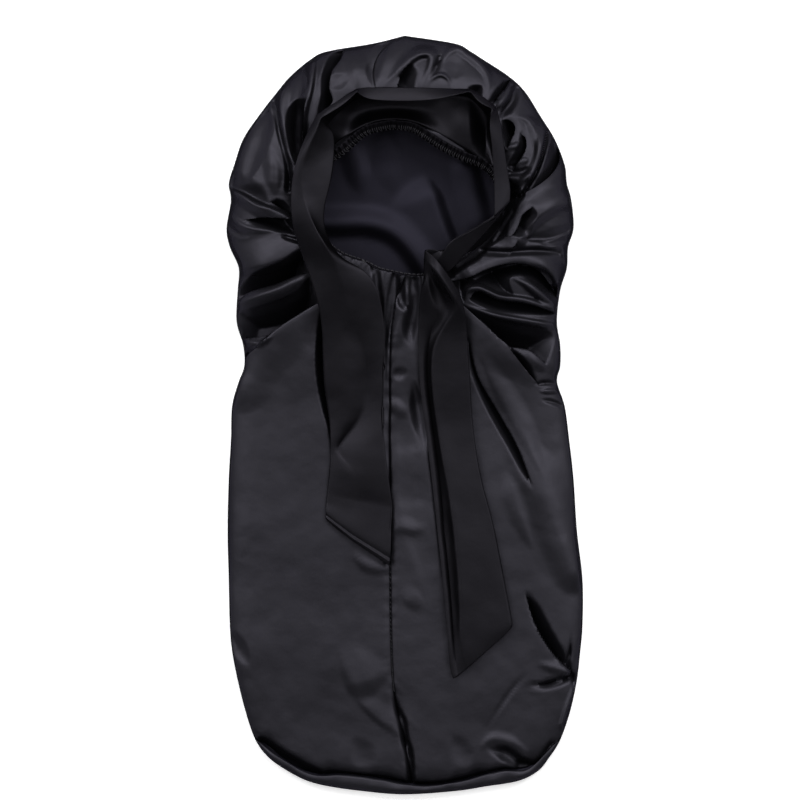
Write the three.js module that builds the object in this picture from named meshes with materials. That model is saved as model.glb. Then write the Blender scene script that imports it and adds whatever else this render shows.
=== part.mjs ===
// A long satin bonnet for braids, lying on its back with the face opening up.
// Millimetres. X runs across the bonnet, Y from its foot to its crown and Z up from the surface.
// The origin is under the middle of the outline, on the surface that it lies on.
import * as THREE from "three";

// Driving dimensions
const wall = 1.5; // satin with its turned seam edges
const seamGap = 0.2; // from the centre seam to each front panel
const panelGap = 0.3; // between a panel and what is sewn to it
const rimHeight = 8; // where the back panel's turned-up rim ends
const backRimRadius = 14; // how far in from the outline the back panel starts to turn up
const openingCentre = new THREE.Vector2(0, 194);
const openingHalfWidth = 93;
const openingHalfLength = 70;
const openingHeight = 39; // the gathered edge above the surface
const gatherReach = 20; // how far the elastic pulls the cloth down round the opening
const gatherCount = 22;
const gatherDepth = 1.6;
const centreSeamDepth = 2.5;
const centreSeamWidth = 9;
const footGap = 0.8; // between the front panels and the back panel's rolled foot
const outlineSlack = 0.1; // places this near the outline count as on it
const foldFreeRim = 10; // how far in from the outline the folds reach their full rise
const seamStripWidth = 8;
const seamStripThickness = 1.6;
const seamStripDrop = 5;
const ruffleCount = 44;
const ruffleDepth = 1.1;
const bandWall = 1.2;

// Reads rows of numbers into objects with the given column names
const readTable = (columns, rows) =>
  rows.map((row) => Object.fromEntries(columns.map((column, index) => [column, row[index]])));

// Half widths of the outline on each side of the centre line, from the crown to the foot
const outlineRows = readTable(["y", "left", "right"], [
  [341, 0, 0],
  [334, 28, 45],
  [327, 69, 59],
  [320, 84, 70],
  [305, 102, 93],
  [291, 114, 108],
  [269, 131, 122],
  [248, 145, 135],
  [225, 153, 144],
  [208, 158, 146],
  [193, 156, 150],
  [168, 160, 152],
  [151, 157, 147],
  [132, 149, 146],
  [112, 150, 140],
  [84, 151, 137],
  [63, 145, 140],
  [44, 144, 140],
  [30, 149, 137],
  [8, 155, 144],
  [-22, 156, 148],
  [-58, 158, 152],
  [-104, 159, 155],
  [-148, 158, 160],
  [-189, 157, 160],
  [-212, 155, 158],
  [-238, 150, 155],
  [-266, 143, 149],
  [-292, 134, 140],
  [-308, 122, 130],
  [-320, 105, 120],
  [-329, 87, 102],
  [-334, 67, 72],
  [-338, 38, 46],
  [-341, 0, 0],
]);
const footCornerY = -292;

// How high the bag stands and how far in from the outline it takes to get there
const loftRows = readTable(["y", "height", "shoulder"], [
  [341, 40, 46],
  [285, 46, 46],
  [190, 44, 40],
  [125, 37, 36],
  [60, 27, 32],
  [0, 21, 30],
  [-200, 19, 28],
  [-300, 15, 24],
  [-341, 13, 22],
]);

// Folds, each along a curve through three points. A rise below zero is a valley. The two widths
// are how far the fold reaches to the left and to the right of the curve as it is walked.
const folds = readTable(["x0", "y0", "x1", "y1", "x2", "y2", "rise", "toLeft", "toRight"], [
  // crown
  [-71, 262, -70, 297, -55, 330, -7, 8, 8],
  [-92, 238, -90, 270, -78, 309, 5, 11, 9],
  [-99, 228, -99, 256, -94, 290, -6, 8, 8],
  [-102, 194, -110, 248, -119, 284, 4, 14, 10],
  [-99, 182, -128, 191, -156, 203, 5, 12, 10],
  [-96, 172, -121, 174, -148, 172, -6, 7, 7],
  [-8, 286, 7, 316, 18, 332, 4, 12, 9],
  [8, 284, 3, 303, 0, 318, -4, 7, 8],
  [26, 280, 34, 318, 43, 334, -4, 7, 7],
  [70, 270, 73, 305, 60, 326, 5, 12, 12],
  [77, 264, 86, 292, 97, 306, -5, 8, 8],
  [88, 250, 100, 250, 118, 238, -4, 12, 10],
  [98, 192, 118, 225, 131, 262, -5, 9, 5],
  [99, 204, 124, 212, 147, 207, 4, 14, 12],
  // left side, from the opening to the lip over the long bag
  [-92, 150, -123, 153, -155, 148, 4, 16, 14],
  [-86, 133, -116, 117, -148, 106, -9, 6, 8],
  [-84, 119, -116, 105, -146, 95, 4, 8, 8],
  [-76, 104, -110, 84, -146, 78, -7, 8, 9],
  [-72, 96, -114, 72, -146, 46, 7, 6, 34],
  // right side
  [88, 160, 113, 158, 145, 154, -4, 6, 6],
  [52, 127, 86, 141, 138, 138, 5, 7, 12],
  [50, 117, 92, 129, 130, 102, -5, 5, 6],
  [58, 108, 95, 102, 140, 88, 4, 6, 7],
  [60, 100, 97, 90, 138, 83, -4, 5, 5],
  [56, 94, 86, 85, 138, 77, 4, 6, 6],
  [60, 88, 95, 66, 132, 55, -6, 8, 8],
  [52, 96, 95, 57, 142, 2, 6, 30, 6],
  // long bag
  [60, 34, 88, -14, 112, -62, -4, 9, 6],
  [100, -70, 122, -108, 152, -138, -3, 14, 10],
  [152, -235, 127, -207, 113, -170, -4, 9, 9],
  [152, -238, 134, -241, 116, -246, -3, 7, 7],
  [78, -294, 96, -308, 114, -314, -3, 8, 8],
]);

// Soft folds of the back panel, seen through the opening
const innerFolds = readTable(["x0", "y0", "x1", "y1", "x2", "y2", "rise", "toLeft", "toRight"], [
  [-84, 178, -31, 180, 30, 138, 6, 12, 10],
  [20, 222, 32, 189, 46, 156, 3, 8, 8],
]);

// The foot seam, from the left foot corner to the right one
const footSeamRows = readTable(["x", "y"], [
  [-127, -295],
  [-105, -311],
  [-81, -322],
  [-54, -322],
  [-22, -326],
  [7, -331],
  [29, -331],
  [54, -327],
  [83, -319],
  [112, -316],
  [132, -296],
]);

// The centre seam below the opening
const centreSeamRows = readTable(["x", "y"], [
  [0, 124],
  [-6, 108],
  [-10, 90],
  [-13, 55],
  [-13, -100],
  [-12, -200],
  [-9, -250],
  [0, -291],
  [7, -331],
]);

// The tie band, from the end of the left tie round the opening to the end of the right one.
// Its outer edge, its lengthways fold and its inner edge, and how high each lies over the cloth.
const bandColumns = [
  "outerX", "outerY", "foldX", "foldY", "innerX", "innerY", "outerLift", "foldLift", "innerLift",
];
const bandRows = readTable(bandColumns, [
  [-71, -90, -40, -112, -12, -133, 2, 2.4, 4.6],
  [-66, -50, -50, -52, -11, -62, 2, 2.6, 4.6],
  [-64, -28, -46, -28, -14, -20, 2, 2.8, 4.6],
  [-69, 14, -33, 8, -14, 10, 2, 3, 4.6],
  [-67, 60, -32, 45, -13, 56, 2.6, 4, 4.6],
  [-72, 92, -40, 86, -18, 96, 4, 6, 4.6],
  [-84, 124, -56, 124, -27, 128, 4, 13, 4],
  [-93, 148, -70, 147, -55, 142, 4, 19, 5],
  [-101, 172, -86, 176, -72, 172, 5, 21, 5],
  [-103, 194, -91, 200, -66, 200, 5, 21, 4],
  [-98, 222, -90, 222, -62, 224, 6, 21, 4],
  [-91, 240, -83, 240, -63, 238, 6, 22, 4],
  [-75, 268, -66, 256, -56, 250, 6, 19, 4],
  [-49, 291, -40, 274, -36, 264, 6, 20, 4],
  [0, 294, 0, 276, 0, 266, 7, 20, 4],
  [56, 291, 50, 281, 40, 262, 7, 20, 4],
  [80, 276, 75, 268, 62, 252, 6, 19, 4],
  [90, 248, 79, 247, 76, 240, 6, 20, 4],
  [95, 214, 82, 210, 86, 212, 6, 21, 4],
  [92, 176, 78, 177, 84, 176, 6, 20, 4],
  [72, 156, 58, 169, 66, 164, 5, 19, 4],
  [46, 128, 26, 146, 20, 138, 4, 13, 4],
  [53, 104, 22, 118, 12, 114, 4.6, 5, 3.4],
  [57, 64, 25, 74, 13, 72, 3.4, 4, 3],
  [60, 14, 26, 14, 16, 14, 2, 3.2, 2.6],
  [73, -52, 34, -54, 25, -54, 2, 3.2, 2.6],
  [91, -140, 45, -152, 34, -152, 2, 3.2, 2.6],
  [97, -191, 52, -224, 43, -235, 2, 3, 2.4],
]);
const bandStepsPerRow = 3;

// Where the grid of each panel is fine, as shares of its way across and along
const frontAcross = [0, 0.05, 0.13, 0.24, 0.36, 0.49, 0.62, 0.74, 0.84, 0.92, 0.975, 1];
const frontStations = readTable(["steps", "inner", "outer"], [
  [15, 0.18, 0.31],
  [26, 0.36, 0.53],
  [6, 0.52, 0.64],
  [8, 1, 1],
]);
const openingShare = 0.36; // how much of a front panel's inner edge runs round the opening
const backAcross = [
  ...frontAcross.map((share) => (1 - share) / 2).reverse(),
  ...frontAcross.slice(1).map((share) => (1 + share) / 2),
];
const backAlong = [
  0, 0.004, 0.01, 0.03, 0.09, 0.15, 0.18, 0.21, 0.24, 0.27, 0.3, 0.4, 0.5, 0.6, 0.7, 0.8, 0.9,
  0.97, 0.99, 0.996, 1,
];
const footRoll = [0.4, 1]; // rows from the outline over to the foot seam

// How finely the plan curves are sampled
const outlineSteps = 420;
const stretchSteps = 60;
const seamSteps = 30;
const foldSteps = 10;

// Finishes
const satin = new THREE.MeshStandardMaterial({ color: 0x24232a, roughness: 0.42, metalness: 0 });
const satinInside = new THREE.MeshStandardMaterial({ color: 0x1c1b21, roughness: 0.7, metalness: 0 });
const elastic = new THREE.MeshStandardMaterial({ color: 0x19181d, roughness: 0.8, metalness: 0 });
const band = new THREE.MeshStandardMaterial({ color: 0x1b1b20, roughness: 0.65, metalness: 0 });

const mix = (from, to, share) => from + (to - from) * share;
const clamp = (value) => Math.min(1, Math.max(0, value));
const ease = (value) => clamp(value) ** 2 * (3 - 2 * clamp(value));
const arch = (value) => Math.sqrt(1 - (1 - clamp(value)) ** 2);

// A smooth plan curve through points
const curveThrough = (points) => new THREE.SplineCurve(points.map((p) => new THREE.Vector2(p.x, p.y)));

// The stretch of a curve between two of its shares
function stretchOf(curve, from, to) {
  const points = [];
  for (let step = 0; step <= stretchSteps; step += 1) {
    points.push(curve.getPoint(mix(from, to, step / stretchSteps)));
  }
  return new THREE.SplineCurve(points);
}

const leftOutline = outlineRows.map((row) => new THREE.Vector2(-row.left, row.y));
const rightOutline = outlineRows.map((row) => new THREE.Vector2(row.right, row.y));
const outlineLoop = [...leftOutline, ...rightOutline.slice(1, -1).reverse()];
const outlineCurve = curveThrough([...outlineLoop, outlineLoop[0]]);
const outlineSamples = outlineCurve.getPoints(outlineSteps);
// The outline between two of its rows, counted from the crown. Rows below zero are on the right.
const outlineBetween = (fromRow, toRow) => {
  const rowShare = (row) => (row < 0 ? outlineLoop.length + row : row) / outlineLoop.length;
  return stretchOf(outlineCurve, rowShare(fromRow), rowShare(toRow));
};
const footCornerRow = outlineRows.findIndex((row) => row.y === footCornerY);
const toOutline = (x, y) => Math.max(0, nearest(outlineSamples, x, y).distance - outlineSlack);
const centreSeam = curveThrough(centreSeamRows);
const footSeam = curveThrough(footSeamRows);
const footSeamLeft = stretchOf(footSeam, 0, 0.5);
const footSeamRight = stretchOf(footSeam, 1, 0.5);
const centreSeamSamples = centreSeam.getPoints(seamSteps);

// The nearest place on a row of points: how far it is, on which side, and how far along
function nearest(samples, x, y) {
  const best = { distance: Infinity, side: 1, along: 0 };
  for (let index = 0; index < samples.length - 1; index += 1) {
    const from = samples[index];
    const to = samples[index + 1];
    const stepX = to.x - from.x;
    const stepY = to.y - from.y;
    const share = clamp(((x - from.x) * stepX + (y - from.y) * stepY) / (stepX ** 2 + stepY ** 2));
    const offX = x - from.x - stepX * share;
    const offY = y - from.y - stepY * share;
    const distance = Math.hypot(offX, offY);
    if (distance < best.distance) {
      best.distance = distance;
      best.side = stepX * offY - stepY * offX >= 0 ? 1 : -1;
      best.along = (index + share) / (samples.length - 1);
    }
  }
  return best;
}

function valueAtY(rows, column, y) {
  const next = rows.findIndex((row) => row.y <= y);
  if (next <= 0) return rows[next === 0 ? 0 : rows.length - 1][column];
  const share = (rows[next - 1].y - y) / (rows[next - 1].y - rows[next].y);
  return mix(rows[next - 1][column], rows[next][column], ease(share));
}

const foldEndShare = 0.16; // of a fold's length, over which it fades
const foldEndRise = 0.25; // of a fold's rise, left at its ends
const foldCurve = (fold) =>
  curveThrough([{ x: fold.x0, y: fold.y0 }, { x: fold.x1, y: fold.y1 }, { x: fold.x2, y: fold.y2 }]);

const withSamples = (rows) =>
  rows.map((fold) => ({ ...fold, samples: foldCurve(fold).getPoints(foldSteps) }));
const sampledFolds = withSamples(folds);
const sampledInnerFolds = withSamples(innerFolds);

// How much the folds lift the cloth at a place
function foldLift(foldRows, x, y) {
  let lift = 0;
  for (const fold of foldRows) {
    const at = nearest(fold.samples, x, y);
    const reach = at.side > 0 ? fold.toLeft : fold.toRight;
    const share = at.distance / reach;
    if (share >= 1) continue;
    const fade = ease(at.along / foldEndShare) * ease((1 - at.along) / foldEndShare);
    lift += fold.rise * (1 - share ** 2) ** 2 * mix(foldEndRise, 1, fade);
  }
  return lift;
}

// Plan place on the opening's edge, from the crown side at angle 0 round to the foot side at pi
const openingPoint = (angle, side, grow = 0) =>
  new THREE.Vector2(
    openingCentre.x + side * Math.sin(angle) * (openingHalfWidth + grow),
    openingCentre.y + Math.cos(angle) * (openingHalfLength + grow),
  );

// Height of the upper satin over the surface
function frontHeight(x, y) {
  const toRim = toOutline(x, y);
  const loft = valueAtY(loftRows, "height", y);
  const shoulder = valueAtY(loftRows, "shoulder", y);
  const rim = rimHeight + panelGap;
  const bag = mix(rim, loft, arch(toRim / shoulder));
  const fromCentreX = (x - openingCentre.x) / openingHalfWidth;
  const fromCentreY = (y - openingCentre.y) / openingHalfLength;
  const toOpening = Math.max(0, (Math.hypot(fromCentreX, fromCentreY) - 1) * openingHalfLength);
  const angle = Math.atan2(fromCentreX, fromCentreY);
  const edge = mix(openingHeight, bag, ease(toOpening / gatherReach));
  const gathers = gatherDepth * Math.cos(gatherCount * angle) * Math.exp(-toOpening / gatherReach);
  const toSeam = nearest(centreSeamSamples, x, y).distance;
  const seamPull = centreSeamDepth * Math.max(0, 1 - toSeam / centreSeamWidth) ** 2;
  const keep = ease(toRim / foldFreeRim);
  return edge + keep * (gathers + foldLift(sampledFolds, x, y) - seamPull);
}

// Height of the back panel's underside, flat on the surface with a turned-up rim
function backHeight(x, y) {
  const toRim = toOutline(x, y);
  const rim = rimHeight * (1 - arch(toRim / backRimRadius));
  return rim + foldLift(sampledInnerFolds, x, y);
}

// Fills the plan between four edges. Each edge is a function of a share from 0 to 1.
function blendEdges(inner, outer, top, foot) {
  return (across, along) => {
    const sides = inner(along).lerp(outer(along), across);
    const ends = top(across).lerp(foot(across), along);
    const topCorners = top(0).lerp(top(1), across);
    const footCorners = foot(0).lerp(foot(1), across);
    return sides.add(ends).sub(topCorners.lerp(footCorners, along));
  };
}

// A cloth wall from a grid of places on its outer skin. flip turns a skin over whose grid runs the
// other way round, closed joins the last row to the first, and turn changes the direction of the
// thickness at a place, so that sewn edges stay clear of each other.
function clothWall({ name, grid, thickness, material, flip = false, closed = false, turn }) {
  const columns = grid[0].length;
  const spans = closed ? grid.length : grid.length - 1;
  const outside = grid.flat();
  const total = outside.length;
  const at = (row, column) => (row % grid.length) * columns + column;
  const index = [];
  const addFace = (a, b, c) => index.push(...(flip ? [a, c, b] : [a, b, c]));
  for (let row = 0; row < spans; row += 1) {
    for (let column = 0; column < columns - 1; column += 1) {
      addFace(at(row, column), at(row + 1, column), at(row, column + 1));
      addFace(at(row, column + 1), at(row + 1, column), at(row + 1, column + 1));
    }
  }
  const skin = new THREE.BufferGeometry().setFromPoints(outside);
  skin.setIndex([...index]);
  skin.computeVertexNormals();
  const normals = skin.getAttribute("normal");
  const inside = outside.map((point, place) => {
    const normal = new THREE.Vector3().fromBufferAttribute(normals, place);
    if (turn) turn(Math.floor(place / columns), place % columns, normal);
    return point.clone().addScaledVector(normal.normalize(), -thickness);
  });
  for (let row = 0; row < spans; row += 1) {
    for (let column = 0; column < columns - 1; column += 1) {
      addFace(at(row, column) + total, at(row, column + 1) + total, at(row + 1, column) + total);
      addFace(at(row, column + 1) + total, at(row + 1, column + 1) + total, at(row + 1, column) + total);
    }
  }
  const addEdge = (from, to) => {
    addFace(from, to, from + total);
    addFace(to, to + total, from + total);
  };
  for (let row = 0; row < spans; row += 1) {
    addEdge(at(row, columns - 1), at(row + 1, columns - 1));
    addEdge(at(row + 1, 0), at(row, 0));
  }
  for (let column = 0; column < columns - 1 && !closed; column += 1) {
    addEdge(at(0, column), at(0, column + 1));
    addEdge(at(spans, column + 1), at(spans, column));
  }
  const geometry = new THREE.BufferGeometry().setFromPoints([...outside, ...inside]);
  geometry.setIndex(index);
  const mesh = new THREE.Mesh(geometry, material);
  mesh.name = name;
  return mesh;
}

// Splits each station's stretch into its steps
function stationShares(stations) {
  const shares = [{ inner: 0, outer: 0 }];
  for (const station of stations) {
    const last = shares[shares.length - 1];
    for (let step = 1; step <= station.steps; step += 1) {
      const share = step / station.steps;
      const inner = mix(last.inner, station.inner, share);
      shares.push({ inner, outer: mix(last.outer, station.outer, share) });
    }
  }
  return shares;
}

// One upper panel, from the centre line out to the outline. side is -1 for the left one.
function frontPanel(name, side) {
  const outline = outlineBetween(side < 0 ? 0 : outlineLoop.length, side * -footCornerRow);
  const footHalf = side < 0 ? footSeamLeft : footSeamRight;
  const outerCurve = new THREE.SplineCurve([...outline.points.slice(0, -1), footHalf.getPoint(0)]);
  const innerEdge = (share) => {
    if (share < openingShare) return openingPoint((Math.PI * share) / openingShare, side);
    return centreSeam.getPointAt((share - openingShare) / (1 - openingShare));
  };
  const shares = stationShares(frontStations);
  const lastRow = shares.length - 1;
  const lastColumn = frontAcross.length - 1;
  const plan = blendEdges(
    (along) => innerEdge(shares[Math.round(along * lastRow)].inner),
    (along) => outerCurve.getPointAt(shares[Math.round(along * lastRow)].outer),
    (across) => openingPoint(0, side).lerp(leftOutline[0], across),
    (across) => footHalf.getPointAt(1 - across),
  );
  const onSeam = (row, column) => row === 0 || (column === 0 && shares[row].inner >= openingShare);
  const grid = shares.map((share, row) =>
    frontAcross.map((across, column) => {
      const point = plan(across, row / lastRow);
      const x = point.x + (onSeam(row, column) ? side * seamGap : 0);
      return new THREE.Vector3(x, point.y, frontHeight(point.x, point.y));
    }),
  );
  const turn = (row, column, normal) => {
    if (row === lastRow) normal.set(0, 0, 1);
    else if (column === lastColumn) normal.setZ(0);
    if (onSeam(row, column)) normal.setX(0);
  };
  return clothWall({ name, grid, thickness: wall, material: satin, flip: side < 0, turn });
}

// The panel that lies on the surface. Its rim turns up to the front panels at the sides, and at
// the foot it rolls over as far as the foot seam.
function backPanel() {
  const crownRow = 5;
  const leftSide = outlineBetween(crownRow, footCornerRow);
  const rightSide = outlineBetween(-crownRow, -footCornerRow);
  const leftCrown = outlineBetween(crownRow, 0);
  const rightCrown = outlineBetween(outlineLoop.length, -crownRow);
  const crown = new THREE.SplineCurve([...leftCrown.points, ...rightCrown.points.slice(1)]);
  const foot = outlineBetween(footCornerRow, -footCornerRow);
  const plan = blendEdges(
    (along) => leftSide.getPointAt(along),
    (along) => rightSide.getPointAt(along),
    (across) => crown.getPointAt(across),
    (across) => foot.getPointAt(across),
  );
  const flat = backAlong.map((along) =>
    backAcross.map((across) => {
      const point = plan(across, along);
      return new THREE.Vector3(point.x, point.y, backHeight(point.x, point.y));
    }),
  );
  const roll = footRoll.map((share) =>
    backAcross.map((across) => {
      const toCentre = 1 - Math.abs(2 * across - 1);
      const seam = (across < 0.5 ? footSeamLeft : footSeamRight).getPointAt(toCentre);
      const point = foot.getPointAt(across).lerp(new THREE.Vector2(seam.x, seam.y - footGap), share);
      return new THREE.Vector3(point.x, point.y, frontHeight(point.x, point.y));
    }),
  );
  const grid = [...flat, ...roll];
  const turn = (row, column, normal) => {
    const nearRim = grid[row][column].z > rimHeight - wall;
    if (row < backAlong.length && nearRim) normal.setZ(0);
    if (row === grid.length - 1) normal.set(0, 0, 1);
  };
  const name = "back_panel";
  return clothWall({ name, grid, thickness: wall, material: satinInside, flip: true, turn });
}

// The ruffled seam inside the opening, sewn to the gathered edge of the satin
function openingSeam() {
  const sections = Array.from({ length: ruffleCount * 2 }, (unused, section) => {
    const angle = (Math.PI * section) / ruffleCount;
    const ruffle = (section % 2 === 0 ? 1 : -1) * ruffleDepth;
    const edge = openingPoint(angle, 1);
    return [0, 0.5, 1].map((share) => {
      const point = openingPoint(angle, 1, -panelGap - share * seamStripWidth);
      const height = frontHeight(edge.x, edge.y) + share * (ruffle - seamStripDrop);
      return new THREE.Vector3(point.x, point.y, height);
    });
  });
  const name = "opening_seam";
  const thickness = seamStripThickness;
  return clothWall({ name, grid: sections, thickness, material: elastic, closed: true });
}

// The tie band, one strip from tie to tie. It stands folded round the opening and lies flat on
// the bag.
function tieBand() {
  const edges = ["outer", "fold", "inner"].map((edge) => ({
    plan: curveThrough(bandRows.map((row) => ({ x: row[`${edge}X`], y: row[`${edge}Y`] }))),
    lift: (share) => {
      const place = share * (bandRows.length - 1);
      const row = Math.min(bandRows.length - 2, Math.floor(place));
      return mix(bandRows[row][`${edge}Lift`], bandRows[row + 1][`${edge}Lift`], place - row);
    },
  }));
  const steps = (bandRows.length - 1) * bandStepsPerRow;
  const sections = Array.from({ length: steps + 1 }, (unused, step) =>
    edges.map((edge) => {
      const share = step / steps;
      const point = edge.plan.getPoint(share);
      return new THREE.Vector3(point.x, point.y, frontHeight(point.x, point.y) + edge.lift(share));
    }),
  );
  return clothWall({ name: "tie_band", grid: sections, thickness: bandWall, material: band, flip: true });
}

const bonnet = new THREE.Group();
bonnet.name = "braid_bonnet";
bonnet.add(backPanel(), frontPanel("front_panel_left", -1), frontPanel("front_panel_right", 1));
bonnet.add(openingSeam(), tieBand());

export default bonnet;
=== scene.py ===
import math

import bmesh
import bpy
import numpy as np
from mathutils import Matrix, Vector, noise


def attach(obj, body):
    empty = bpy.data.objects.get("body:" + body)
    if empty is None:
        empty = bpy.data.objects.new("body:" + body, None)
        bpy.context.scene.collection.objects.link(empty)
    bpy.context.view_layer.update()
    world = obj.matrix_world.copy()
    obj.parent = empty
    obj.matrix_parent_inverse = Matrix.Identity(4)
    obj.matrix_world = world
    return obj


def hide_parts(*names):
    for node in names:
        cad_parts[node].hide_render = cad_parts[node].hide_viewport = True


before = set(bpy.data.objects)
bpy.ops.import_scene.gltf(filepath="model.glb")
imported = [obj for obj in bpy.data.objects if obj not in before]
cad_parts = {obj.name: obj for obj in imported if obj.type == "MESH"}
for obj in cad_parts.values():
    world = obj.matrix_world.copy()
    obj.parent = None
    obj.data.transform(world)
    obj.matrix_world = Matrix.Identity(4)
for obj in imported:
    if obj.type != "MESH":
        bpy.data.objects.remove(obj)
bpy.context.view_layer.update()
print("frame loaded")

mm = 0.001

# the part's middle in pixels of the photograph, x to the right and y down, and a pixel's size in mm
photo = {"middleX": 404.5, "middleY": 415.0, "pixel": 0.9}
# how many steps the curves have from one of their points to the next
curveSteps = {"outline": 6, "footSeam": 8, "centreSeam": 8, "opening": 6, "crownJoin": 8, "fold": 5, "gap": 4}


def fromPhoto(points):
    # places in mm from pixels of the photograph
    points = np.asarray(points, float)
    x = (points[:, 0] - photo["middleX"]) * photo["pixel"]
    y = (photo["middleY"] - points[:, 1]) * photo["pixel"]
    return np.stack([x, y], 1)


def mix(start, end, share):
    return start + (end - start) * share


def ease(value):
    value = np.clip(value, 0, 1)
    return value * value * (3 - 2 * value)


def arch(value):
    return np.sqrt(1 - (1 - np.clip(value, 0, 1)) ** 2)


def curveThrough(points, perSpan):
    # smooth curve through points, with perSpan steps from each one to the next
    points = np.asarray(points, float)
    padded = np.vstack([points[:1], points, points[-1:]])
    made = []
    for span in range(len(points) - 1):
        a, b, c, d = padded[span:span + 4]
        for step in range(perSpan):
            t = step / perSpan
            made.append(0.5 * (2 * b + (c - a) * t + (2 * a - 5 * b + 4 * c - d) * t * t
                               + (3 * b - a - 3 * c + d) * t ** 3))
    made.append(points[-1])
    return np.array(made)


def lengthsAlong(line):
    return np.concatenate([[0], np.cumsum(np.linalg.norm(np.diff(line, axis=0), axis=1))])


def alongLine(line, shares):
    # places at shares of a line's length
    lengths = lengthsAlong(line)
    at = np.asarray(shares, float) * lengths[-1]
    return np.stack([np.interp(at, lengths, line[:, axis]) for axis in range(line.shape[1])], -1)


def nearestOn(line, x, y):
    # distance, side (1 left, -1 right as the line is walked), share along, and the way out to the left
    best = np.full(x.shape, np.inf)
    side = np.ones(x.shape)
    along = np.zeros(x.shape)
    outX = np.zeros(x.shape)
    outY = np.zeros(x.shape)
    for index in range(len(line) - 1):
        (fromX, fromY), (toX, toY) = line[index], line[index + 1]
        stepX, stepY = toX - fromX, toY - fromY
        size = stepX ** 2 + stepY ** 2 + 1e-12  # never zero
        share = np.clip(((x - fromX) * stepX + (y - fromY) * stepY) / size, 0, 1)
        offX, offY = x - fromX - stepX * share, y - fromY - stepY * share
        distance = np.hypot(offX, offY)
        nearer = distance < best
        best = np.where(nearer, distance, best)
        side = np.where(nearer, np.where(stepX * offY - stepY * offX >= 0, 1, -1), side)
        along = np.where(nearer, (index + share) / (len(line) - 1), along)
        outX = np.where(nearer, -stepY / math.sqrt(size), outX)
        outY = np.where(nearer, stepX / math.sqrt(size), outY)
    return best, side, along, outX, outY


# mesh and material helpers

def pieceFrom(bm, name):
    # the finished bmesh as a smooth object in the scene
    for face in bm.faces:
        face.smooth = True
    mesh = bpy.data.meshes.new(name)
    bm.to_mesh(mesh)
    bm.free()
    piece = bpy.data.objects.new(name, mesh)
    bpy.context.scene.collection.objects.link(piece)
    return piece


def gridPiece(name, places, thickness, wallSide=-1, closed=False, crease=None, levels=0):
    # A sheet from rows of places in mm, its outer side up. The wall goes inwards, or out with wallSide 1.
    # closed joins its first and last rows, crease gives an edge's crease, and levels is how often it is
    # rounded before it gets its wall.
    rows, columns = places.shape[:2]
    bm = bmesh.new()
    bmesh.ops.create_grid(bm, x_segments=columns - 1, y_segments=rows - 1, size=1)
    for vertex in bm.verts:
        column = round((vertex.co.x + 1) / 2 * (columns - 1))
        row = round((vertex.co.y + 1) / 2 * (rows - 1))
        vertex.co = Vector(places[row, column]) * mm
        vertex.index = row * columns + column
    if crease:
        layer = bm.edges.layers.float.new("crease_edge")
        for edge in bm.edges:
            edge[layer] = crease(*sorted(divmod(vertex.index, columns) for vertex in edge.verts))
    if closed:
        bmesh.ops.remove_doubles(bm, verts=bm.verts, dist=0.02 * mm)
    bm.normal_update()
    if sum(face.normal.z * face.calc_area() for face in bm.faces) < 0:
        bmesh.ops.reverse_faces(bm, faces=bm.faces)
    piece = pieceFrom(bm, name)
    if levels:
        smooth = piece.modifiers.new("round", "SUBSURF")
        smooth.levels = smooth.render_levels = levels
        applyModifiers(piece)
    wall = piece.modifiers.new("cloth", "SOLIDIFY")
    wall.thickness = thickness * mm
    wall.offset = wallSide
    return piece


def applyModifiers(piece):
    # the mesh becomes what the modifiers make of it
    graph = bpy.context.evaluated_depsgraph_get()
    graph.update()
    baked = bpy.data.meshes.new_from_object(piece.evaluated_get(graph))
    piece.modifiers.clear()
    piece.data = baked


def unevenAt(place):
    # smooth unevenness from about -1 to 1, in two sizes, the second half as large
    return noise.fractal(place, 1.0, 2.0, 2)


def crumple(piece, size, depth, seed):
    # soft dents pushed along the normals, size and depth in mm; the seed picks a stretch of the noise
    offset = Vector([seed * step for step in (3.7, 1.3, 2.1)])
    normals = [vertex.normal.copy() for vertex in piece.data.vertices]
    for vertex, normal in zip(piece.data.vertices, normals):
        vertex.co += normal * (unevenAt(vertex.co / (size * mm) + offset) * depth * mm)


def linearColour(hexCode):
    channels = [int(hexCode[at:at + 2], 16) / 255 for at in (1, 3, 5)]
    return [c / 12.92 if c <= 0.04045 else ((c + 0.055) / 1.055) ** 2.4 for c in channels] + [1]


def addNode(tree, kind, values=None, links=None, **settings):
    node = tree.nodes.new(kind)
    for setting, value in settings.items():
        setattr(node, setting, value)
    for socket, value in (values or {}).items():
        node.inputs[socket].default_value = value
    for socket, source in (links or {}).items():
        tree.links.new(source, node.inputs[socket])
    return node


def emptyMaterial(name):
    made = bpy.data.materials.new(name)
    made.use_nodes = True
    made.node_tree.nodes.clear()
    return made, made.node_tree


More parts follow.
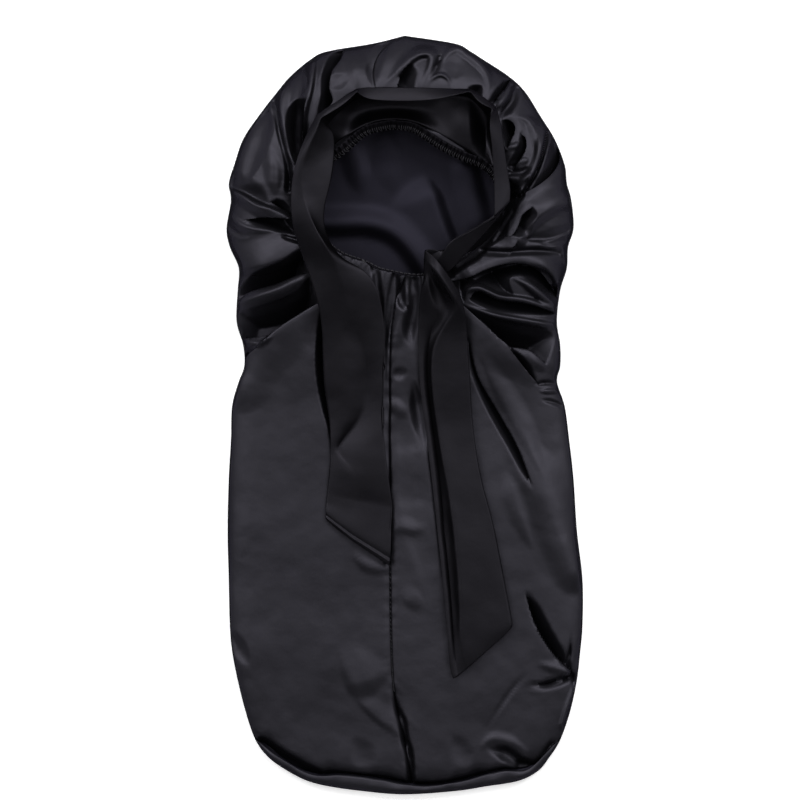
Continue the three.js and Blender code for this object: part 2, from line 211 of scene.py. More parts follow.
def clothMaterial(name, look):
    # woven polyester: two tones in slow patches, and threads that catch the light as a fine ribbing
    made, tree = emptyMaterial(name)
    place = addNode(tree, "ShaderNodeTexCoord").outputs["Object"]
    patches = addNode(tree, "ShaderNodeTexNoise", {"Scale": 1 / (look["patch"] * mm), "Detail": 2.0},
                      {"Vector": place})
    colour = addNode(tree, "ShaderNodeMix", data_type="RGBA", links={0: patches.outputs["Fac"]})
    colour.inputs[6].default_value = linearColour(look["dark"])
    colour.inputs[7].default_value = linearColour(look["light"])
    rough = addNode(tree, "ShaderNodeMapRange", {"To Min": look["roughness"] - look["roughSpread"],
                                                 "To Max": look["roughness"] + look["roughSpread"]},
                    {"Value": patches.outputs["Fac"]})
    stretched = addNode(tree, "ShaderNodeMapping", {"Scale": look["threadScale"]}, {"Vector": place})
    threads = addNode(tree, "ShaderNodeTexNoise", {"Scale": 1 / (look["thread"] * mm), "Detail": 1.0},
                      {"Vector": stretched.outputs["Vector"]})
    dents = addNode(tree, "ShaderNodeTexNoise", {"Scale": 1 / (look["dent"] * mm), "Detail": 3.0},
                    {"Vector": place})
    soft = addNode(tree, "ShaderNodeBump", {"Strength": 1.0, "Distance": look["dentDepth"] * mm},
                   {"Height": dents.outputs["Fac"]})
    weave = addNode(tree, "ShaderNodeBump", {"Strength": 1.0, "Distance": look["threadDepth"] * mm},
                    {"Height": threads.outputs["Fac"], "Normal": soft.outputs["Normal"]})
    surface = {"Metallic": look["metallic"], "Specular Tint": linearColour(look["edgeTint"])}
    if "sheen" in look:
        surface["IOR"] = look["ior"]
        surface["Sheen Weight"] = look["sheen"]
        surface["Sheen Tint"] = linearColour(look["sheenTint"])
    shader = addNode(tree, "ShaderNodeBsdfPrincipled", surface,
                     {"Base Color": colour.outputs[2], "Roughness": rough.outputs["Result"],
                      "Normal": weave.outputs["Normal"]})
    addNode(tree, "ShaderNodeOutputMaterial", links={"Surface": shader.outputs["BSDF"]})
    return made


# Woven filament polyester. Its long smooth floats mirror the lamps softly, so flat cloth is dark grey
# and slopes are bright or black. A dark metallic base gives that; the edge tint keeps low angles dark.
# Sizes are in mm. Threads are really 0.1 to 0.2 mm apart, and are drawn coarser so that they show.

# black satin, warp-faced and calendered: a cool grey gloss with soft edges
satin = clothMaterial("polyester satin, glossy face", {
    "dark": "#29282d", "light": "#39383e", "patch": 60, "roughness": 0.52, "roughSpread": 0.04,
    "thread": 1.1, "threadDepth": 0.03, "threadScale": (1, 0.15, 1), "dent": 26, "dentDepth": 0.9,
    "metallic": 1, "edgeTint": "#3c3a46",
})
# the same satin seen from its back: darker, with wider and weaker highlights
satinBack = clothMaterial("polyester satin, crepe back", {
    "dark": "#1d1c23", "light": "#26252d", "patch": 60, "roughness": 0.55, "roughSpread": 0.04,
    "thread": 1.0, "threadDepth": 0.02, "threadScale": (1, 0.4, 1), "dent": 30, "dentDepth": 0.3,
    "metallic": 1, "edgeTint": "#26252e",
})
# crepe band, pressed flat: darker than the satin, in even soft tones
bandCloth = clothMaterial("polyester crepe band", {
    "dark": "#1d1c20", "light": "#27262a", "patch": 45, "roughness": 0.5, "roughSpread": 0.05,
    "thread": 0.9, "threadDepth": 0.025, "threadScale": (1, 0.5, 1), "dent": 22, "dentDepth": 0.55,
    "metallic": 1, "edgeTint": "#2d2c32",
})
# covered elastic, crinkled by its stitches: nearly black, with small glints
elasticCloth = clothMaterial("overlocked elastic", {
    "dark": "#0e0d10", "light": "#1b1a1e", "patch": 8, "roughness": 0.55, "roughSpread": 0.05,
    "thread": 0.8, "threadDepth": 0.05, "threadScale": (1, 1, 1), "dent": 5, "dentDepth": 0.3,
    "metallic": 1, "edgeTint": "#2a2a2e",
})
# spun polyester sewing thread, no metal: matt, with a little fuzz, a shade lighter than the elastic
thread = clothMaterial("spun polyester thread", {
    "dark": "#1c1b20", "light": "#2a292f", "patch": 6, "roughness": 0.6, "roughSpread": 0.03,
    "thread": 0.5, "threadDepth": 0.02, "threadScale": (1, 1, 1), "dent": 3, "dentDepth": 0.02,
    "metallic": 0, "edgeTint": "#ffffff", "ior": 1.48, "sheen": 0.05, "sheenTint": "#c4c3cf",
})
print("materials made")


# outline and loft, in mm as in the part's source

outlineRows = [  # y, left half width, right half width, from the crown to the foot
    (341, 0, 0), (334, 28, 45), (327, 69, 59), (320, 84, 70), (305, 102, 93), (291, 114, 108),
    (269, 131, 122), (248, 145, 135), (225, 153, 144), (208, 158, 146), (193, 156, 150),
    (168, 160, 152), (151, 157, 147), (132, 149, 146), (112, 150, 140), (84, 151, 137),
    (63, 145, 140), (44, 144, 140), (30, 149, 137), (8, 155, 144), (-22, 156, 148),
    (-58, 158, 152), (-104, 159, 155), (-148, 158, 160), (-189, 157, 160), (-212, 155, 158),
    (-238, 150, 155), (-266, 143, 149), (-292, 134, 140), (-308, 122, 130), (-320, 105, 120),
    (-329, 87, 102), (-334, 67, 72), (-338, 38, 46), (-341, 0, 0),
]
loftRows = np.array([  # y, height of the bag, how far in from the outline it gets there
    (341, 40, 46), (285, 46, 46), (190, 44, 40), (125, 37, 36), (60, 27, 32), (0, 21, 30),
    (-200, 19, 28), (-300, 15, 24), (-341, 13, 22),
], float)
# x and y along the foot seam from left to right, and along the centre seam from the opening to the foot
footSeamRows = [
    (-127, -295), (-105, -311), (-81, -322), (-54, -322), (-22, -326), (7, -331), (29, -331),
    (54, -327), (83, -319), (112, -316), (132, -296),
]
centreSeamRows = [
    (0, 124), (-6, 108), (-10, 90), (-13, 55), (-13, -100), (-12, -200), (-9, -250), (0, -291), (7, -331),
]
# the gathered edge of the opening, from the crown side round each half to the foot side
openingLeft = [
    (398, 122), (387, 122), (362, 129), (341, 147), (322, 160), (309, 176), (305, 195), (308, 215),
    (320, 236), (340, 254), (364, 263), (378, 270), (390, 273), (404, 276),
]
openingRight = [
    (398, 122), (416, 125), (441, 141), (462, 152), (484, 161), (498, 173), (505, 192), (502, 212),
    (494, 230), (480, 246), (462, 261), (440, 272), (422, 277), (404, 276),
]

outlineLoop = [(-row[1], row[0]) for row in outlineRows] + [(row[2], row[0]) for row in outlineRows[-2:0:-1]]
outlineLine = curveThrough(outlineLoop + outlineLoop[:1], curveSteps["outline"])
crownAgain = len(outlineLoop)  # the row where the outline is back at the crown
footCornerY = -292  # the row where the sides end and the foot begins
footCorner = [row[0] for row in outlineRows].index(footCornerY)


def outlineBetween(fromRow, toRow):
    # the outline between two of its rows, counted from the crown; rows below zero are on the right
    start, end = (curveSteps["outline"] * (row if row >= 0 else crownAgain + row) for row in (fromRow, toRow))
    if end >= start:
        return outlineLine[start:end + 1]
    return outlineLine[end:start + 1][::-1]


footSeamLine = curveThrough(footSeamRows, curveSteps["footSeam"])
centreSeamLine = curveThrough(centreSeamRows, curveSteps["centreSeam"])
# where the two panels meet above the opening, in the photograph's pixels
crownJoin = [(398, 122), (384, 106), (376, 92), (373, 74), (378, 57), (390, 43), (404.5, 36.1)]
openingHalves = {side: curveThrough(fromPhoto(half), curveSteps["opening"])
                 for side, half in ((-1, openingLeft), (1, openingRight))}
openingLine = np.vstack([openingHalves[1], openingHalves[-1][::-1][1:]])
openingLengths = lengthsAlong(openingLine)

panel = {  # sizes in mm; the puckers' wobble is its height and its length along the seam, in radians
    "wall": 0.6, "seamGap": 0.12, "rimHeight": 8.3, "backRimRadius": 14, "rimEdge": 0.1,
    "openingHeight": 39, "gatherReach": 20, "foldFreeRim": 4, "lowest": 2.0,
    "sharpAngle": 78,  # degrees
    "centreSeamDepth": 2.2, "centreSeamWidth": 8, "centreSeamLength": 460,
    "puckerDepth": 0.5, "puckerPitch": 6.5, "puckerFade": 5, "puckerWobble": (2, 60),
    "footSeamDepth": 5.5, "footSeamWidth": 9, "footUneven": 0.7, "footUnevenSize": 24, "footSeed": 5.6,
    "waveDepth": 1.3, "waveSize": 70, "waveSeed": 2.3,
    "rippleDepth": 0.5, "rippleSize": 22, "rippleSeed": 7.9,
}
gather = {  # sizes in mm; a wave is its height, its length for one radian, and its shift in radians
    "depth": 1.0, "pitch": 8.5, "fade": 16, "ridge": 1.5, "base": 0.9,
    "wobble": [(1.7, 19, 0), (1.1, 7.3, 1)],
    "fine": 0.35, "fineShare": 0.53, "fineWobble": [(2, 13, 0)],
    "hiddenWidth": 4, "hiddenFrom": 150, "hiddenOver": 40,  # flat under the collar, from this y up
    "calmShare": 0.3, "calmFrom": 30, "calmOver": 20,  # weaker on the right of this x
}


def loftAt(column, y):
    rows = loftRows[::-1]
    index = np.clip(np.searchsorted(rows[:, 0], y, side="right"), 1, len(rows) - 1)
    low, high = rows[index - 1], rows[index]
    share = (y - low[..., 0]) / (high[..., 0] - low[..., 0])
    return mix(low[..., column], high[..., column], ease(share))


def bagHeight(x, y):
    # the upper satin without its folds, and the distances to the rim and the opening
    toRim = np.maximum(0, nearestOn(outlineLine, x, y)[0] - panel["rimEdge"])
    bag = mix(panel["rimHeight"], loftAt(1, y), arch(toRim / loftAt(2, y)))
    distance, side = nearestOn(openingLine, x, y)[:2]
    toOpening = np.where(side > 0, distance, 0)  # the line runs clockwise, so left is outside
    return mix(panel["openingHeight"], bag, ease(toOpening / panel["gatherReach"])), toRim, toOpening


foldShape = {
    "taper": 0.42, "tipWidth": 0.3,  # shares of the length where an open end tapers, and of the width there
    "underCollar": 24, "nearRim": 9,  # mm from the opening and the rim, up to which an end counts as hidden
    "creasePower": 1.3,
}
gapShape = {  # sizes in mm; ends is the share of the edge over which a gap closes
    "snap": 1.1, "reach": 4.5, "rollWidth": 5, "rollDepth": 2, "deepest": 34, "ends": 0.08,
}


def fold(rise, left, right, *points, sharp=0, lean=0):
    # A fold along points in the photograph. A rise below zero is a valley. Left and right are how far
    # it reaches to each side of the line as it is walked, sharp makes it a crease, and lean pushes its
    # crest over to the right. All but the points is in mm, and sharp is a share.
    curve = curveThrough(fromPhoto(points), curveSteps["fold"])
    ends = curve[[0, -1]].T
    # an end that shows tapers off; one under the collar or at the rim doesn't
    shows = nearestOn(openingLine, *ends)[0] > foldShape["underCollar"]
    shows &= nearestOn(outlineLine, *ends)[0] > foldShape["nearRim"]
    return {"rise": rise, "left": left, "right": right, "sharp": sharp, "lean": lean, "curve": curve,
            "open": shows}


def gap(slope, over, ramp, roll=0):
    # A gap between two folds, where the satin runs down steeply and in under the edge of the next fold.
    # Over is the edge that hangs over, and ramp the line that the satin leaves by, from the first to the
    # last point of over. Slope is mm down for each mm away from the ramp, and roll rounds the edge.
    ramp = curveThrough(fromPhoto([over[0], *ramp, over[-1]]), curveSteps["gap"])
    over = curveThrough(fromPhoto(over), curveSteps["gap"])
    return {"slope": slope, "over": over, "ramp": ramp, "roll": roll,
            "around": np.vstack([ramp, over[::-1]])}


folds = [
    # crown, left of the opening
    fold(3.5, 12, 11, (352, 46), (356, 66), (358, 92)),
    fold(-2, 11, 10, (334, 76), (343, 92)),
    fold(7, 4, 9, (314, 64), (311, 90), (306, 112), (304, 134), (303, 156), (298, 172)),
    fold(-3, 2.5, 2.5, (305, 70), (307.5, 80), (307, 93), sharp=0.7),
    fold(6, 9, 3.5, (282, 92), (281, 115), (283, 132), (287, 150), (292, 168), (296, 190)),
    fold(-7, 4, 5, (273, 97), (277, 112), (280, 127), (284, 143), (288, 157), (290.5, 172), (290, 190),
         sharp=0.5),
    fold(-5, 10, 14, (268, 118), (262, 140), (253, 164), (246, 186)),
    fold(3.5, 9, 10, (270, 146), (274, 172), (277, 198)),
    fold(-6, 14, 6, (228, 184), (240, 189), (251, 196), (262, 204), (272, 209)),
    fold(7, 4, 11, (226, 190), (243, 197), (260, 206), (278, 214), (298, 223)),
    fold(3, 4, 4, (230, 216), (242, 226), (256, 231), (274, 233)),
    fold(-4, 4, 4, (228, 226), (238, 234), (252, 237), sharp=0.6),
    fold(8, 25, 10, (232, 270), (260, 266), (284, 258), (304, 250)),
    fold(-5, 3.5, 4, (280, 236), (291, 239), (304, 243), sharp=0.5),
    # left side, down to the lip over the long bag
    fold(6, 6, 10, (240, 303), (258, 297), (280, 290), (300, 280), (312, 274)),
    fold(6, 3, 34, (240, 378), (252, 355), (268, 341), (284, 329), (302, 316), (324, 301), lean=-2),
    fold(4, 3, 7, (244, 342), (260, 343), (276, 337)),
    # crown, above the opening
    fold(-4.5, 8, 8, (385, 40), (378, 58), (373, 74), (376, 94)),
    fold(6.5, 10, 5, (382, 92), (392, 81), (402, 70), (412, 61), (421, 56), (430, 57), (430, 67),
         (425, 80), (421, 96)),
    fold(-4.5, 4.5, 4.5, (442, 54), (437, 66), (432, 79), sharp=0.3),
    fold(6, 8, 7, (436, 75), (443, 62), (450, 53), (459, 49), (468, 55), (479, 64), (486, 75), (488, 88),
         (484, 106)),
    fold(-2, 11, 10, (458, 56), (452, 82)),
    fold(3, 3, 3, (427, 92), (431, 82), (440, 77), (448, 82), (450, 94)),
    fold(-25, 10, 27, (326, 132), (343, 115), (360, 103), (390, 101), (435, 103), (468, 107), (486, 122),
         (492, 150)),
    fold(-15, 18, 15, (426, 116), (446, 122), (468, 134), (486, 146)),
    # crown, right of the opening
    fold(5, 5, 3, (515, 80), (507, 94), (499, 106), (495, 114)),
    fold(-8, 8, 4, (514, 90), (511, 102), (504, 112), (498, 122), sharp=0.2),
    fold(4.5, 9, 7, (514, 118), (528, 122), (536, 136), (538, 152), (533, 170)),
    fold(6, 2.5, 8, (547, 120), (544, 138), (540, 153), (535, 168), (527, 182), (519, 194)),
    fold(-7, 3, 2.5, (550, 124), (545, 144), (540, 162), (532, 180), (522, 194), sharp=0.7),
    fold(2.5, 4, 4, (506, 150), (514, 148), (520, 143)),
    fold(2, 4, 4, (512, 166), (522, 163), (530, 160)),
    fold(-3.5, 4, 4, (510, 174), (522, 173), (532, 168)),
    fold(2, 4, 4, (510, 180), (519, 181), (528, 177)),
    fold(-3.5, 4, 4, (511, 188), (519, 189.5), (527, 184)),
    fold(4, 3.5, 3.5, (509, 213), (501, 226), (492, 240)),
    fold(8, 20, 9, (518, 240), (525, 229), (536, 218), (552, 208), (570, 202)),
    # right side
    fold(-3, 8, 3, (520, 240), (545, 240), (566, 232)),
    fold(-2.5, 4, 4, (537, 242.5), (549, 245), (562, 241)),
    fold(3, 8, 4, (470, 243), (490, 248), (508, 249), (530, 247.5), (552, 248), (562, 253), (568, 265),
         (569, 286)),
    fold(-3, 4.5, 5, (482, 252), (505, 253.5), (530, 251.5), (558, 252)),
    fold(7.5, 15, 4, (474, 276), (484, 271), (500, 265), (515, 262), (530, 264), (545, 269), (555, 280),
         (560, 292)),
    fold(6, 7, 6, (510, 278), (524, 284), (538, 294), (552, 305), (564, 313)),
    fold(5, 4, 4, (459, 306), (464, 295), (471, 289.5), (480, 288.5), (488, 291.5), (500, 297),
         (530, 302), (562, 314)),
    fold(4.5, 4, 5, (462, 304), (484, 312.5), (500, 317), (530, 322), (562, 327)),
    fold(6, 3, 28, (456, 300), (474, 317), (488, 331), (504, 347), (521, 367), (538, 386), lean=-2),
    fold(3, 9, 10, (516, 352), (530, 358), (546, 372)),
    fold(-3.5, 3, 3, (532, 385), (546, 383), (562, 384), sharp=0.5),
    fold(3, 3, 3, (538, 392), (550, 391), (564, 391)),
    fold(-2.5, 3, 3, (540, 400), (552, 402), (566, 408), sharp=0.5),
    # between the ties
    fold(-4, 5, 5, (374, 262), (379, 294), (382, 320), (384, 350), (386, 420)),
    fold(-3, 4.5, 4.5, (395, 276), (390, 300), (387, 326), (385, 350)),
    fold(-8, 5.5, 6.5, (401, 274), (401.5, 298), (405, 312)),
    fold(-6, 8, 10, (412, 282), (413, 306), (410, 330), (412, 350)),
    fold(2.5, 9, 9, (409, 296), (404, 318), (395, 340), (390, 366)),
    fold(-3, 9, 8, (396, 368), (402, 380)),
    fold(-7, 8, 10, (414, 380), (417, 400), (421, 426), (426, 456)),
    fold(-4, 26, 22, (402, 330), (408, 400), (414, 470), (422, 540), (430, 600)),
    fold(-1.5, 34, 12, (386, 447), (404, 443), (424, 446)),
    fold(-1.3, 32, 12, (386, 499), (406, 496), (430, 500)),
    fold(4.5, 6, 34, (416, 340), (417, 380), (421.5, 416), (426.5, 454), (431, 491), (435, 530),
         (438.5, 560), (442, 600), sharp=0.4),
    fold(2, 8, 9, (388, 396), (398, 408), (408, 416)),
    fold(2, 12, 5, (384, 532), (400, 528), (414, 530), (430, 528), sharp=0.2),
    fold(2, 9, 6, (352, 552), (368, 566), (394, 570), sharp=0.2),
    # long bag
    fold(6.5, 30, 23, (498, 410), (522, 456), (540, 494), (556, 528), (574, 570), sharp=0.1),
    fold(3, 9, 12, (504, 470), (516, 505), (532, 550), sharp=0.2),
    fold(3, 16, 9, (478, 350), (500, 392), (524, 436), (544, 480)),
    fold(-7, 4, 5, (522, 685), (545, 684), (562, 679), (577, 673), sharp=0.4),
    fold(-5, 3, 3, (571, 630), (570, 648), (568, 662), (572, 676), (577, 694), sharp=0.6),
    fold(3, 6, 5, (536, 662), (556, 668), (573, 674)),
    fold(3, 4, 5, (562, 724), (568, 704), (575, 688)),
    fold(-1.7, 3, 3, (534, 667), (515, 685), (500, 706), (482, 734), sharp=0.7),
    fold(-9, 8, 9, (486, 748), (503, 752), (516, 760), (534, 773)),
    fold(2.5, 7, 6, (478, 750), (492, 738), (512, 742), (530, 754)),
    fold(4, 40, 16, (346, 690), (362, 682), (392, 668), sharp=0.3),
    fold(2, 16, 4, (352, 694), (376, 716), (400, 736), sharp=0.3),
    fold(-3, 9, 9, (224, 632), (238, 646), (250, 666)),
    fold(-5, 8, 4, (252, 738), (272, 750), (290, 760), (316, 774)),
    fold(-6.5, 4.5, 4.5, (393, 684), (396, 704), (403, 722), (405, 738), (410, 756), (411, 792)),
    fold(1.6, 14, 14, (420, 590), (405, 606)),
    fold(-2, 14, 11, (470, 768), (462, 750), (452, 736)),
    fold(-2, 14, 13, (372, 774), (364, 754), (354, 736)),
]

gaps = [
    # crown
    gap(1.8, over=[(295.5, 168), (299, 160), (303, 150), (304, 130), (305, 112), (307, 100)],
        ramp=[(290, 157), (286.5, 142), (286, 126), (289, 110), (297, 101)]),
    gap(1.8, over=[(344, 47), (342, 58), (338, 65), (332, 74), (329.5, 90), (333, 103), (326, 112),
              (316, 124)],
        ramp=[(335, 50), (328, 58), (324, 68), (321, 80), (321, 96), (318, 112)], roll=0.8),
    gap(1.1, over=[(397, 98), (398.5, 84), (403, 73), (411, 65)], ramp=[(412, 96), (416, 84), (417, 72)]),
    gap(1.8, over=[(467, 90), (474, 95), (482, 98)], ramp=[(473, 87), (482, 88)]),
    gap(2.0, over=[(511, 78), (506, 88), (499, 97), (492, 107)],
        ramp=[(504, 80), (497, 88), (491, 97), (486, 107)], roll=0.6),
    gap(1.8, over=[(501, 122), (508, 122), (514, 127), (514, 134), (510, 142), (505, 152)],
        ramp=[(500, 134), (502, 145)], roll=0.6),
    gap(1.8, over=[(519, 135), (525, 140), (525, 150), (520, 160), (511, 173)],
        ramp=[(517, 148), (511, 158), (506, 168)], roll=0.6),
    gap(1.3, over=[(551, 138), (558, 148), (559, 160), (555, 170), (546, 180), (534, 189), (522, 195)],
        ramp=[(545, 156), (540, 172), (532, 184)]),
    # left side
    gap(1.6, over=[(271, 203), (279, 208), (288, 213), (296, 219)],
        ramp=[(278, 200), (286, 203), (292, 210)], roll=0.6),
    gap(1.7, over=[(244, 221), (262, 219), (280, 219.5), (298, 221)],
        ramp=[(256, 227), (268, 231), (284, 235), (298, 237)]),
    gap(1.6, over=[(236, 309), (243, 297), (254, 291), (276, 285), (298, 276), (314, 272)],
        ramp=[(238, 292), (248, 279), (262, 270), (281, 262), (296, 252), (310, 249)], roll=0.8),
    gap(1.3, over=[(238, 338), (258, 337.5), (276, 332), (292, 320), (308, 309), (326, 301)],
        ramp=[(240, 314), (250, 309), (270, 303), (286, 297), (299, 290), (312, 278)], roll=0.6),
    gap(1.5, over=[(240, 374), (246, 362), (254, 353), (262, 348)], ramp=[(242, 352), (250, 349)]),
    # along the left edge of the left tie
    gap(2.0, over=[(324, 298), (328, 322), (328, 345), (329, 370), (332, 395), (335, 420), (335, 438),
              (332, 452)],
        ramp=[(319, 322), (316, 345), (315.5, 365), (318, 388), (323, 410), (329, 430)]),
    # beside the lower right of the collar
    gap(1.5, over=[(505, 174), (508, 192), (506, 204), (496, 220), (480, 238), (464, 255), (448, 272),
              (440, 278)],
        ramp=[(514, 186), (525, 196), (518, 206), (513, 218), (509, 224), (506, 237), (497, 243),
              (488, 251), (477, 262), (463, 270), (450, 281)]),
    gap(1.3, over=[(503, 238), (511, 237), (517, 228), (522, 216), (532, 208)],
        ramp=[(526, 238), (532, 226), (537, 216)]),
    # right side
    gap(1.4, over=[(448, 283), (468, 278.5), (484, 271), (500, 266), (515, 264.5), (530, 267), (541, 274),
              (549, 285), (556, 297), (562, 309)],
        ramp=[(456, 296), (463, 303), (468, 289), (478, 287.5), (488, 292), (502, 297), (513, 296),
              (510, 287), (510, 279), (519, 277), (530, 282), (540, 292), (550, 301)], roll=0.2),
    gap(1.8, over=[(551, 283), (554, 292), (562, 305)], ramp=[(560, 286)]),
    gap(1.6, over=[(469, 301), (473, 294), (480, 292), (487, 295.5), (500, 301), (530, 305), (560, 316)],
        ramp=[(478, 306), (490, 310.5), (510, 314), (535, 316)]),
    gap(1.2, over=[(460, 303), (480, 323.5), (496, 339), (507, 346.5), (528, 350), (546, 365)],
        ramp=[(480, 313), (500, 319), (522, 325), (546, 329), (554, 340)], roll=0.5),
    gap(1.8, over=[(500, 342), (520, 365), (540, 387)], ramp=[(526, 360)]),
    gap(1.7, over=[(466, 334), (477, 376), (497, 411), (518, 449), (532, 488)],
        ramp=[(469, 368), (484, 405), (505, 444), (521, 474)], roll=0.6),
    gap(1.7, over=[(525, 590), (531, 614), (542, 638), (556, 657), (574, 673)],
        ramp=[(539, 606), (552, 630), (565, 653)], roll=0.3),
]
# ridges of the back panel that show through the opening
innerFolds = [
    fold(8, 18, 14, (296, 222), (332, 223), (366, 223), (389, 229), (405, 241), (420, 260), (432, 282),
         sharp=0.5, lean=1),
    fold(8, 13, 44, (426, 174), (430, 194), (437, 216), (448, 246)),
    fold(3, 12, 16, (350, 142), (358, 166), (362, 196)),
    fold(2, 13, 16, (388, 142), (390, 168), (394, 196)),
    fold(3.5, 12, 18, (468, 170), (474, 194), (480, 220)),
]


def nearLine(line, reach, x, y):
    # the places in the box round a line
    low, high = line.min(0) - reach, line.max(0) + reach
    return (x > low[0]) & (x < high[0]) & (y > low[1]) & (y < high[1])


def foldLift(table, x, y):
    # how the folds move the cloth at each place: up, and over in plan
    lift, moveX, moveY = (np.zeros(x.shape) for axis in range(3))
    for each in table:
        near = nearLine(each["curve"], max(each["left"], each["right"]), x, y)
        if not near.any():
            continue
        distance, side, along, outX, outY = nearestOn(each["curve"], x[near], y[near])
        fade = np.ones(along.shape)
        for isOpen, fromEnd in zip(each["open"], (along, 1 - along)):
            if isOpen:
                fade = fade * ease(fromEnd / foldShape["taper"])
        width = np.where(side > 0, each["left"], each["right"]) * mix(foldShape["tipWidth"], 1, fade)
        share = np.clip(distance / width, 0, 1)
        crease = (1 - share) ** foldShape["creasePower"]
        profile = mix((1 - share ** 2) ** 2, crease, each["sharp"]) * fade
        lift[near] += each["rise"] * profile
        moveX[near] -= outX * each["lean"] * profile
        moveY[near] -= outY * each["lean"] * profile
    return lift, moveX, moveY


def isInside(around, x, y):
    # whether places lie inside a closed line, by how often a ray from each crosses it
    inside = np.zeros(x.shape, bool)
    for (fromX, fromY), (toX, toY) in zip(around, around[1:]):
        if fromY != toY:
            crossing = fromX + (y - fromY) / (toY - fromY) * (toX - fromX)
            inside ^= ((fromY > y) != (toY > y)) & (x < crossing)
    return inside


def gapDrop(x, y):
    # how far the satin falls inside the gaps, and how it moves in plan onto their hanging edges
    drop, moveX, moveY = (np.zeros(x.shape) for axis in range(3))
    snap, reach = gapShape["snap"], gapShape["reach"]
    for each in gaps:
        near = nearLine(each["around"], reach, x, y)
        if not near.any():
            continue
        atX, atY = x[near], y[near]
        inside = isInside(each["around"], atX, atY)
        fall = np.minimum(each["slope"] * nearestOn(each["ramp"], atX, atY)[0], gapShape["deepest"])
        distance, side, along, outX, outY = nearestOn(each["over"], atX, atY)
        kept = ease(along / gapShape["ends"]) * ease((1 - along) / gapShape["ends"])
        rolled = each["roll"] * gapShape["rollDepth"] * kept
        rolled = rolled * np.clip(1 - distance / gapShape["rollWidth"], 0, 1) ** 2
        drop[near] = np.maximum(drop[near], np.where(inside, fall, rolled))
        # the nearest places move onto the edge, and the ones up to reach follow less and less
        pull = np.where(distance < snap, distance, (reach - distance) * snap / (reach - snap))
        pull = np.where(distance < reach, pull, 0) * kept * side
        moveX[near] -= outX * pull
        moveY[near] -= outY * pull
    return drop, moveX, moveY


def slowWaves(x, y, size, seed):
    # slow unevenness over the plan, its size in mm
    places = zip(x.ravel() / size, y.ravel() / size)
    return np.array([unevenAt(Vector((a, b, seed))) for a, b in places]).reshape(x.shape)


def sineSum(s, waves):
    # each wave is a height, a length for one radian, and a shift in radians
    return sum(height * np.sin(s / length + shift) for height, length, shift in waves)


def satinPlaces(x, y):
    # the folded upper satin at plan places x, y
    height, toRim, toOpening = bagHeight(x, y)
    along = nearestOn(openingLine, x, y)[2]
    s = np.interp(along * (len(openingLine) - 1), np.arange(len(openingLine)), openingLengths)
    # gathers, weaker with the distance from the opening
    ridges = np.abs(np.sin(math.pi * s / gather["pitch"] + sineSum(s, gather["wobble"])))
    finePitch = gather["fineShare"] * gather["pitch"]
    fine = np.cos(2 * math.pi * s / finePitch + sineSum(s, gather["fineWobble"]))
    gathers = gather["ridge"] * ridges - gather["base"] + gather["fine"] * fine
    gathers = gathers * gather["depth"] * np.exp(-toOpening / gather["fade"])
    hidden = 1 - ease((toOpening - gather["hiddenWidth"]) / gather["hiddenWidth"])
    gathers = gathers * (1 - hidden * ease((y - gather["hiddenFrom"]) / gather["hiddenOver"]))
    gathers = gathers * mix(1, gather["calmShare"], ease((x - gather["calmFrom"]) / gather["calmOver"]))
    # the centre seam pulls the satin down and puckers it
    nearSeam = nearestOn(centreSeamLine, x, y)
    toSeam, alongSeam = nearSeam[0], nearSeam[2]
    seamShare = np.clip(1 - toSeam / panel["centreSeamWidth"], 0, 1)
    wobble, wobbleLength = panel["puckerWobble"]
    puckers = 2 * math.pi * alongSeam * panel["centreSeamLength"] / panel["puckerPitch"]
    pucker = panel["puckerDepth"] * np.cos(puckers + wobble * np.sin(alongSeam * wobbleLength))
    seamPull = panel["centreSeamDepth"] * seamShare ** 2 + pucker * np.exp(-toSeam / panel["puckerFade"])
    # the foot seam pulls it down unevenly
    toFoot = nearestOn(footSeamLine, x, y)[0]
    uneven = 1 + panel["footUneven"] * slowWaves(x, 0 * y, panel["footUnevenSize"], panel["footSeed"])
    footShare = np.clip(1 - toFoot / panel["footSeamWidth"] / uneven, 0, 1)
    footPull = panel["footSeamDepth"] * uneven * footShare ** 2
    lift, moveX, moveY = foldLift(folds, x, y)
    waves = panel["waveDepth"] * slowWaves(x, y, panel["waveSize"], panel["waveSeed"])
    waves += panel["rippleDepth"] * slowWaves(x, y, panel["rippleSize"], panel["rippleSeed"])
    keep = ease(toRim / panel["foldFreeRim"])  # the rim itself stays on the outline
    drop, toEdgeX, toEdgeY = gapDrop(x, y)
    drop = np.minimum(drop, np.maximum(height + lift - panel["lowest"], 0))
    z = height + keep * (gathers + lift + waves - seamPull - drop) - footPull
    return x + keep * (moveX + toEdgeX), y + keep * (moveY + toEdgeY), np.maximum(z, panel["lowest"])


def blendEdges(inner, outer, top, foot, across, along):
    # fills the plan between two long edges and two short ones, at shares across and along
    across, along = across[None, :, None], along[:, None, None]
    sides = mix(inner[:, None], outer[:, None], across)
    ends = mix(top[None], foot[None], along)
    topCorners = mix(top[0], top[-1], across)
    footCorners = mix(foot[0], foot[-1], across)
    return sides + ends - mix(topCorners, footCorners, along)


frontGrid = {
    "across": 98,
    # steps, and the shares of the inner and outer edges where each stretch ends
    "stations": [(146, 0.18, 0.31), (132, 0.36, 0.53), (68, 0.52, 0.64), (110, 1.0, 1.0)],
    "openingShare": 0.36, "joinRows": 66,
}


